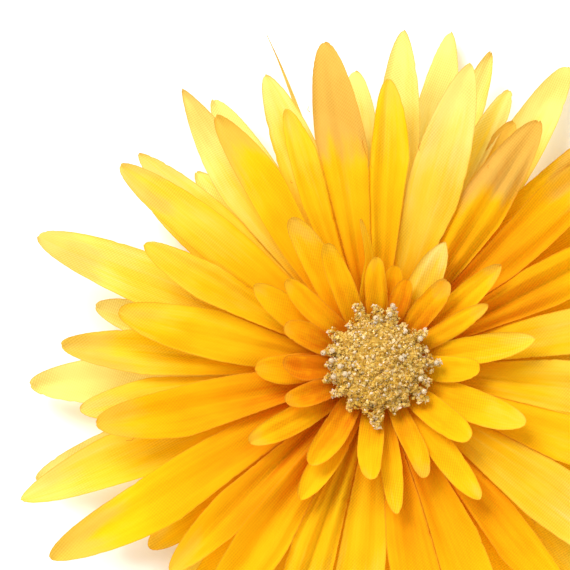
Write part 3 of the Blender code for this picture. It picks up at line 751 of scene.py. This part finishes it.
def crumb(chance, centre, size):
    """A small angular chip: an uneven octahedron turned at random."""
    corners = [(1, 0, 0), (-1, 0, 0), (0, 1, 0), (0, -1, 0), (0, 0, 1), (0, 0, -1)]
    turn = Matrix.Rotation(chance.uniform(0, math.tau), 3, Vector(
        (chance.gauss(0, 1), chance.gauss(0, 1), chance.gauss(0, 1) + 0.01)).normalized())
    stretch = (chance.uniform(0.6, 1.4), chance.uniform(0.6, 1.4), chance.uniform(0.35, 1.0))
    points = []
    for corner in corners:
        grown = Vector(c * s * size * chance.uniform(0.75, 1.25) for c, s in zip(corner, stretch))
        points.append(centre + turn @ grown)
    faces = [(0, 2, 4), (2, 1, 4), (1, 3, 4), (3, 0, 4), (2, 0, 5), (1, 2, 5), (3, 1, 5), (0, 3, 5)]
    return points, faces


CORE_TONE = (0.4, 0.0, 0.1)
SURFACE_CHIPS = 5600
CHIP_SIZES = (0.16, 0.22, 0.28, 0.36, 0.46)
SPIKE_CHIP_SIZES = (0.2, 0.26, 0.34, 0.46)
CHIPS_ON_A_SPIKE = (30, 34)  # on any, and for each mm of its length
SPIKE_START = 6.2
SPIKE_FOOT = 7.4
SPIKE_HEIGHT = 2.1
KNOBS = 5  # clusters of chips on a spike
KNOB_SHARE = 0.45
TOP_STEP = 4  # the outline's step past which chips spread in over the top


def make_crown(material):
    """The glittery centre: a lumpy core, and chips all over it and out along its spikes."""
    chance = random.Random(31)
    shapes = [crown_base()]
    tones = [CORE_TONE] * len(shapes[0][0])

    def add_chip(point, size, tone=None):
        points, faces = crumb(chance, point, size)
        shapes.append((points, faces))
        if tone is None:
            tone = chance.random() ** 0.9
        sparkle = chance.random()
        tones.extend([(tone, 0.0, sparkle)] * len(points))

    for _ in range(SURFACE_CHIPS):
        angle = chance.uniform(0, math.tau)
        outline = crown_profile(angle)[1:]
        step = chance.uniform(0, len(outline) - 1.01) ** 0.9
        radius, height = along_outline(outline, step)
        if step >= TOP_STEP:
            radius *= chance.random() ** 0.35
        size = chance.choice(CHIP_SIZES)
        point = polar(radius, angle, height)
        outward = Vector((point.x, point.y, max(point.z - 1.5, 0))).normalized()
        point += outward * (lump_at(point) - 0.35)
        add_chip(point + Vector((0, 0, CROWN_BOTTOM)), size)
    for number, length in enumerate(SPIKE_LENGTHS):
        angle = math.tau * number / len(SPIKE_LENGTHS) + chance.uniform(-0.08, 0.08)
        knobs = [
            (chance.uniform(0.15, 1.0), chance.gauss(0, 0.5), chance.gauss(0, 0.4)) for _ in range(KNOBS)
        ]
        on_any, on_each_mm = CHIPS_ON_A_SPIKE
        for _ in range(int(on_any + on_each_mm * length)):
            if chance.random() < KNOB_SHARE:
                share, across, up = chance.choice(knobs)
                share += chance.gauss(0, 0.05)
                across += chance.gauss(0, 0.16)
                up += chance.gauss(0, 0.16)
            else:
                share = chance.random()
                across, up = chance.gauss(0, 0.5), chance.gauss(0, 0.5)
            wide = (1.3 + 0.32 * length) * (1 - 0.72 * share)
            radius = SPIKE_START + (SPIKE_FOOT + length - SPIKE_START) * share
            x = radius * math.cos(angle) - across * wide * math.sin(angle)
            y = radius * math.sin(angle) + across * wide * math.cos(angle)
            height = CROWN_BOTTOM + SPIKE_HEIGHT + 0.7 * share + up * wide * 0.8
            tone = min(1.0, chance.random() * 0.75 + 0.4 * share)
            add_chip(Vector((x, y, height)), chance.choice(SPIKE_CHIP_SIZES), tone)
    vertices, faces = gather(shapes)
    return add_piece("crown_glitter", vertices, faces, material, {"crumb": tones}, smooth=False)


MICROBEADS = 34
MICROBEAD_RADIUS = (0.2, 0.32)


def make_microbeads(material):
    """Clear microbeads caught among the glitter."""
    chance = random.Random(47)
    ball = bmesh.new()
    bmesh.ops.create_icosphere(ball, subdivisions=2, radius=1.0)
    ball.verts.index_update()
    points = [corner.co.copy() for corner in ball.verts]
    sides = [tuple(corner.index for corner in face.verts) for face in ball.faces]
    ball.free()
    shapes = []
    for _ in range(MICROBEADS):
        angle = chance.uniform(0, math.tau)
        outline = crown_profile(angle)
        radius = outline[3][0] * math.sqrt(chance.random())
        height = CROWN_RINGS[3][0]
        for (wide, low), (narrow, high) in zip(outline[2:], outline[3:]):
            if narrow <= radius <= wide:
                height = low + (high - low) * (wide - radius) / max(wide - narrow, 1e-6)
        size = chance.uniform(*MICROBEAD_RADIUS)
        centre = polar(radius, angle, CROWN_BOTTOM + height)
        shapes.append(([centre + p * size for p in points], sides))
    vertices, faces = gather(shapes)
    return add_piece("crown_microbeads", vertices, faces, material)


BEAD_RADIUS = 0.5
BEAD_HOLE = 0.13
BEAD_HALF_HEIGHT = 0.43
BEAD_TURN = 1.3  # radians from the bead's waist to where its rim turns in


def make_bead(name, node, material, seed):
    """A drilled glass bead, slightly oval, lying tilted."""
    chance = random.Random(seed)
    low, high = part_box(node)
    centre = (Vector(low) + Vector(high)) / 2 / MM
    round_part = np.linspace(-BEAD_TURN, BEAD_TURN, 13)
    outline = [(math.cos(a) * BEAD_RADIUS, math.sin(a) * BEAD_RADIUS) for a in round_part]
    outline += [(BEAD_HOLE, z) for z in (BEAD_HALF_HEIGHT, 0.0, -BEAD_HALF_HEIGHT)]
    columns = 28
    turn = Matrix.Rotation(chance.uniform(0.4, 1.3), 3, Vector(
        (chance.uniform(-1, 1), chance.uniform(-1, 1), 0.1)).normalized())
    vertices = []
    for radius, z in outline:
        for c in range(columns):
            a = math.tau * c / columns
            oval = 1 + 0.03 * math.sin(2 * a + seed)
            vertices.append(centre + turn @ Vector((radius * math.cos(a) * oval, radius * math.sin(a), z)))
    faces = grid_faces(len(outline), columns, closed=True)
    last = (len(outline) - 1) * columns
    faces += [(last + c, last + (c + 1) % columns, (c + 1) % columns, c) for c in range(columns)]
    return add_piece(name, vertices, faces, material)


def uneven(point, amount, scale):
    """The point, moved a little by smooth noise."""
    shift = noise.noise_vector(Vector(point) * scale) * amount
    return (point[0] + shift.x, point[1] + shift.y, point[2] + shift.z)


def make_felt_circle(material):
    """The round of felt behind the flower, with a soft rolled edge."""
    edge, middle, rings, columns = 0.45, 0.3, 26, 120
    bottom, top = FELT_BOTTOM, FELT_BOTTOM + FELT_THICKNESS
    outline = [(r, bottom) for r in np.linspace(middle, FELT_RADIUS - edge, rings)]
    for a in np.radians(np.linspace(-90, 90, 9)[1:-1]):
        height = (bottom + top) / 2 + FELT_THICKNESS / 2 * math.sin(a)
        outline.append((FELT_RADIUS - edge + edge * math.cos(a), height))
    outline += [(r, top) for r in np.linspace(FELT_RADIUS - edge, middle, rings)]
    vertices = []
    for radius, height in outline:
        for c in range(columns):
            vertices.append(uneven(polar(radius, math.tau * c / columns, height), 0.1, 1.7))
    return add_piece("felt_circle", vertices, capped_faces(len(outline), columns), material)


STRAP_X = 1.5
STRAP_HALF_WIDTH = 2.45
STRAP_HALF_THICKNESS = 0.43
STRAP_HALF_LENGTH = 13
STRAP_DROP = 0.45  # from the underside of what it lies on to its middle
ARM_UNDERSIDE = 8.0


def strap_centre_line():
    """The strap's middle line across the clip, as (y, z): down under the arm and up to the felt."""
    high = FELT_BOTTOM - GAP - STRAP_DROP
    low = ARM_UNDERSIDE - GAP - STRAP_DROP
    half = [
        (0, low), (2.2, low), (3.9, low), (4.9, low + 0.35), (5.6, high - 0.45), (6.5, high), (9.5, high),
        (STRAP_HALF_LENGTH, high),
    ]
    return np.array([(-y, z) for y, z in reversed(half[1:])] + half)


def make_strap(material):
    """The felt strap: a soft band with rounded edges."""
    line = strap_centre_line()
    run = np.concatenate([[0], np.cumsum(np.hypot(*np.diff(line, axis=0).T))])
    rows, sides, smoothing = 60, 20, 5
    steps = np.linspace(0, run[-1], rows)
    y = np.interp(steps, run, line[:, 0])
    z = np.interp(steps, run, line[:, 1])
    padded = np.pad(z, smoothing // 2, mode="edge")
    z = np.convolve(padded, np.ones(smoothing) / smoothing, mode="valid")
    vertices = []
    for i in range(rows):
        end = min(1, math.sqrt(min(i, rows - 1 - i) / 2) + 0.55)
        for k in range(sides):
            a = math.tau * k / sides
            across = math.copysign(abs(math.cos(a)) ** 0.35, math.cos(a)) * STRAP_HALF_WIDTH
            up = math.copysign(abs(math.sin(a)) ** 0.6, math.sin(a)) * STRAP_HALF_THICKNESS * end
            x = STRAP_X + across * (0.94 + 0.06 * end)
            vertices.append(uneven((x, y[i], z[i] + up), 0.07, 1.9))
    return add_piece("felt_strap_band", vertices, capped_faces(rows, sides), material)


FIBRE_RADIUS = 0.022


def make_fuzz(name, spots, material, seed, length):
    """Short curled fibres that stand off felt, at (point, outward direction) spots."""
    chance = random.Random(seed)
    shapes = []
    for point, outward in spots:
        reach = chance.uniform(0.4, 1.0) * length
        sway = Vector((chance.gauss(0, 1), chance.gauss(0, 1), chance.gauss(0, 0.5)))
        points = [
            point + outward * reach * share * 0.5 + sway * (share ** 1.5) * reach * 0.55
            for share in (0, 0.35, 0.7, 1.0)
        ]
        shapes.append(tube(points, FIBRE_RADIUS, 3, 0.5))
    vertices, faces = gather(shapes)
    return add_piece(name, vertices, faces, material)


def felt_circle_spots(count, seed):
    """Where fibres stand on the felt circle: on its edge and, by turns, on its back where that shows."""
    chance = random.Random(seed)
    spots = []
    for i in range(count):
        a = chance.uniform(0, math.tau)
        if i % 2:
            height = FELT_BOTTOM + 0.15 + chance.random() * (FELT_THICKNESS - 0.3)
            spots.append((polar(FELT_RADIUS - 0.1, a, height), polar(1, a, 0)))
            continue
        point = polar((FELT_RADIUS - 0.4) * math.sqrt(chance.random()), a, FELT_BOTTOM + 0.1)
        under_strap = abs(point.y) < 14 and abs(point.x) < 5
        under_clip = abs(point.y) < 5
        if not under_strap and not under_clip:
            spots.append((point, Vector((0, 0, -0.35))))
    return spots


def strap_spots(count, seed):
    """Where fibres stand on the strap's two long edges."""
    chance = random.Random(seed)
    line = strap_centre_line()
    spots = []
    for _ in range(count):
        y = chance.uniform(-STRAP_HALF_LENGTH, STRAP_HALF_LENGTH)
        z = float(np.interp(y, line[:, 0], line[:, 1]))
        side = chance.choice((-1, 1))
        edge = STRAP_X + side * (STRAP_HALF_WIDTH - 0.1)
        spots.append((Vector((edge, y, z)), Vector((side, 0, -0.2))))
    return spots


PIN_X = -5.5
PIN_Z = 5.2
SPRING_COIL_RADIUS = 1.6
SPRING_TURNS = 4.5
SPRING_PITCH = 0.75
SPRING_WIRE_RADIUS = 0.3
SPRING_LEG_END_X = -14.0
SPRING_UPPER_END_Z = 7.35
SPRING_LOWER_END_Z = 2.5
SPRING_STEPS_PER_TURN = 36


def make_spring(material):
    """The torsion spring as one smooth round wire: a leg under the arm, the coil, a leg on the lever."""
    coil_top = PIN_Z + SPRING_COIL_RADIUS
    start_y = SPRING_TURNS * SPRING_PITCH / 2
    leg = np.linspace(0, 1, 14)
    points = []
    for share in leg[:-1]:
        x = SPRING_LEG_END_X + share * (PIN_X - SPRING_LEG_END_X)
        points.append((x, start_y, SPRING_UPPER_END_Z + (coil_top - SPRING_UPPER_END_Z) * share ** 1.5))
    for step in np.arange(0, SPRING_TURNS + 1e-6, 1 / SPRING_STEPS_PER_TURN):
        angle = math.pi / 2 - math.tau * step
        points.append((
            PIN_X + SPRING_COIL_RADIUS * math.cos(angle), start_y - SPRING_PITCH * step,
            PIN_Z + SPRING_COIL_RADIUS * math.sin(angle),
        ))
    last_x, last_y, last_z = points[-1]
    for share in leg[1:]:
        x = last_x + (SPRING_LEG_END_X - last_x) * share
        points.append((x, last_y, last_z + (SPRING_LOWER_END_Z - last_z) * share))
    vertices, faces = tube(points, SPRING_WIRE_RADIUS, 12)
    return add_piece("spring_wire", vertices, faces, material)


THREAD_RADIUS = 0.05
PULLED_THREAD_AT = 100  # the petal whose edge has a long thread pulled out of it


def loose_thread(direction, radius, across, height, run, sideways, rise):
    """One thread that starts on a petal and runs outward, sideways and up."""
    along = polar(1, math.radians(direction), 0)
    beside = polar(1, math.radians(direction + 90), 0)
    start = along * radius + beside * across + Vector((0, 0, height))
    points = []
    for share in np.linspace(0, 1, 9):
        curl = math.sin(share * 4.0) * 0.25
        point = start + along * run * share + beside * (sideways * share ** 1.4 + curl)
        points.append(point + Vector((0, 0, rise * math.sin(share * math.pi / 2))))
    return tube(points, THREAD_RADIUS, 4, 0.6)


def make_loose_threads(material):
    """Fine threads that have worked loose from the front petals' cut edges."""
    chance = random.Random(61)
    radius = 42
    height = front_height(radius) + 0.5
    shapes = [loose_thread(PULLED_THREAD_AT, radius, -4.55, height, run=-7, sideways=-0.5, rise=0.5)]
    for angle, reach, width, *_ in FRONT_PETALS:
        radius = chance.uniform(0.55, 0.9) * reach
        side = chance.choice((-1, 1))
        share = (radius - OUTER_HUB) / (reach - OUTER_HUB)
        across = side * width / 2 * float(petal_fullness(np.float64(share), 0.5, OUTER_ROOT)) * 0.97
        height = float(front_height(np.float64(radius))) + 0.3
        run = chance.uniform(0.6, 1.8)
        sideways = side * chance.uniform(0.1, 0.5)
        rise = chance.uniform(-0.2, 0.3)
        shapes.append(loose_thread(angle, radius, across, height, run, sideways, rise))
    vertices, faces = gather(shapes)
    return add_piece("loose_threads", vertices, faces, material)


# Build --------------------------------------------------------------------------------------

OUTER_PALING = (12, 64, 0.6, 0.0)
INNER_PALING = (9, 30, 0.56, -0.14)
OUTER_THROUGH = 0.42
INNER_THROUGH = 0.36
outer_back_cloth = petal_cloth("outer_petal_cloth_back", 25, OUTER_THROUGH, OUTER_PALING)
outer_middle_cloth = petal_cloth("outer_petal_cloth_middle", 58, OUTER_THROUGH, OUTER_PALING)
outer_front_cloth = petal_cloth("outer_petal_cloth_front", 40, OUTER_THROUGH, OUTER_PALING)
inner_cloth = petal_cloth("inner_petal_cloth_deep", 12, INNER_THROUGH, INNER_PALING)
glitter = glitter_material()
glass = cloudy_material(
    "clear_glass_bead", 1400.0, 2.0, (srgb(238, 222, 184), srgb(226, 200, 160)), roughness=(0.05, 0.16),
    Transmission_Weight=0.4, IOR=1.5,
)
plastic = cloudy_material(
    "moulded_yellow_plastic", 700.0, 3.0, (srgb(246, 198, 62), srgb(236, 180, 44)), roughness=(0.32, 0.48),
    relief=(0.02, 0.4), Subsurface_Weight=0.1, Subsurface_Scale=0.001,
)
glue = cloudy_material(
    "hot_melt_glue", 420.0, 3.0, (srgb(248, 242, 226), srgb(236, 224, 196)), roughness=(0.2, 0.4),
    relief=(0.12, 0.6), Transmission_Weight=0.35, IOR=1.48,
)
felt = felt_material()
nickel = steel_material("nickel_plate", srgb(232, 229, 222), 0.2)
wire = steel_material("spring_wire_steel", srgb(196, 196, 198), 0.28)

# Rows and columns of a petal's mesh, with what the petals of the outer and inner discs share
OUTER = (OUTER_HUB, OUTER_SHAPE, OUTER_ROOT, (76, 13))
LONG_INNER = (LONG_HUB, INNER_SHAPE, INNER_ROOT, (34, 11))
SHORT_INNER = (SHORT_HUB, INNER_SHAPE, INNER_ROOT, (34, 11))

# Discs as (name, petals, height, kind, seed, cloth, rolled, fluted, flat size, what is below)
DISCS = (
    ("outer_back", BACK_PETALS, back_height, OUTER, 11, outer_back_cloth,
     {107: (78, 4.5)}, (), 0.14, "peg_collar"),
    ("outer_middle", MIDDLE_PETALS, middle_height, OUTER, 12, outer_middle_cloth,
     {}, (47,), 0.136, "cloth_outer_back"),
    ("outer_front", FRONT_PETALS, front_height, OUTER, 13, outer_front_cloth,
     {}, (26, 41, 55, 237, 251), 0.134, "cloth_outer_middle"),
    ("inner_long", LONG_INNER_PETALS, long_inner_height, LONG_INNER, 14, inner_cloth,
     {99: (66, 0)}, (), 0.06, "cloth_outer_front"),
    ("inner_short", SHORT_INNER_PETALS, short_inner_height, SHORT_INNER, 15, inner_cloth,
     {}, (), 0.046, "cloth_inner_long"),
)
threads = make_loose_threads(outer_front_cloth)
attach(threads, "flower")
for name, petals, height, kind, seed, cloth, roll, fluted, size, below in DISCS:
    hub, shape, root, grid = kind
    disc, area = make_disc(
        f"cloth_{name}", petals, height, hub, shape, root, seed, grid, cloth, roll, fluted,
    )
    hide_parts(f"petal_disc_{name}")
    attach(disc, "flower")

crown = make_crown(glitter)
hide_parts("glitter_crown")
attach(crown, "flower")
microbeads = make_microbeads(glass)
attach(microbeads, "flower")
for number in range(1, BEAD_COUNT + 1):
    node = f"glass_bead_{number:02d}"
    bead = make_bead(f"drilled_bead_{number:02d}", node, glass, number)
    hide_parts(node)
    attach(bead, "flower")

circle = make_felt_circle(felt)
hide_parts("felt_backing")
band = make_strap(felt)
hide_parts("felt_strap")
circle_fuzz = make_fuzz("felt_circle_fuzz", felt_circle_spots(2600, 71), felt, seed=72, length=1.5)
band_fuzz = make_fuzz("felt_strap_fuzz", strap_spots(700, 73), felt, seed=74, length=1.0)
for piece in (circle, band, circle_fuzz, band_fuzz):
    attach(piece, "flower")

spring = make_spring(wire)
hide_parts("torsion_spring")
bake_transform(spring)

for node, material in (
    ("centre_peg", plastic), ("peg_collar", plastic), ("back_glue_disc", glue), ("arm_glue_pad", glue),
    ("clip_upper_arm", nickel), ("clip_lower_jaw", nickel), ("hinge_pin", nickel),
):
    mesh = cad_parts[node].data
    mesh.materials.clear()
    mesh.materials.append(material)

# Table, light and camera --------------------------------------------------------------------

FLOOR_HALF = 3000
FLOOR_Z = -0.2
corners = ((-1, -1), (1, -1), (1, 1), (-1, 1))
floor_corners = [(x * FLOOR_HALF, y * FLOOR_HALF, FLOOR_Z) for x, y in corners]
floor = add_piece("tabletop", floor_corners, [(0, 1, 2, 3)], floor_material(), smooth=False)


def area_light(name, location, size, power, colour):
    """A soft square light that looks at the flower."""
    light = bpy.data.lights.new(name, "AREA")
    light.shape = "SQUARE"
    light.size = size
    light.energy = power
    light.color = colour
    obj = put_in_scene(name, light)
    obj.location = location
    aim = Vector((0, 0, 0.01)) - Vector(location)
    obj.rotation_euler = aim.to_track_quat("-Z", "Y").to_euler()


area_light("window", (-0.75, 0.85, 1.25), size=0.9, power=30.0, colour=(1.0, 0.985, 0.96))
area_light("fill", (0.7, -0.9, 1.0), size=1.2, power=4.0, colour=(1.0, 0.99, 0.97))

world = bpy.data.worlds.new("soft_room")
scene.world = world
world.use_nodes = True
background = world.node_tree.nodes["Background"]
background.inputs["Color"].default_value = (1.0, 0.995, 0.985, 1)
background.inputs["Strength"].default_value = 0.85

ELEVATION = 80.0
DISTANCE = 0.42
AIM = Vector((-0.0166, 0.0139, 0.021))
VIEW_WIDTH = 0.1015  # how wide a strip shows at that distance
SENSOR_WIDTH = 36.0
camera_data = bpy.data.cameras.new("camera")
camera_data.sensor_width = SENSOR_WIDTH
camera_data.lens = SENSOR_WIDTH * DISTANCE / VIEW_WIDTH
camera_data.clip_start = 0.01
camera = put_in_scene("camera", camera_data)
tilt = math.radians(ELEVATION)
camera.location = AIM + DISTANCE * Vector((0, -math.cos(tilt), math.sin(tilt)))
camera.rotation_euler = (math.radians(90 - ELEVATION), 0, 0)
scene.camera = camera
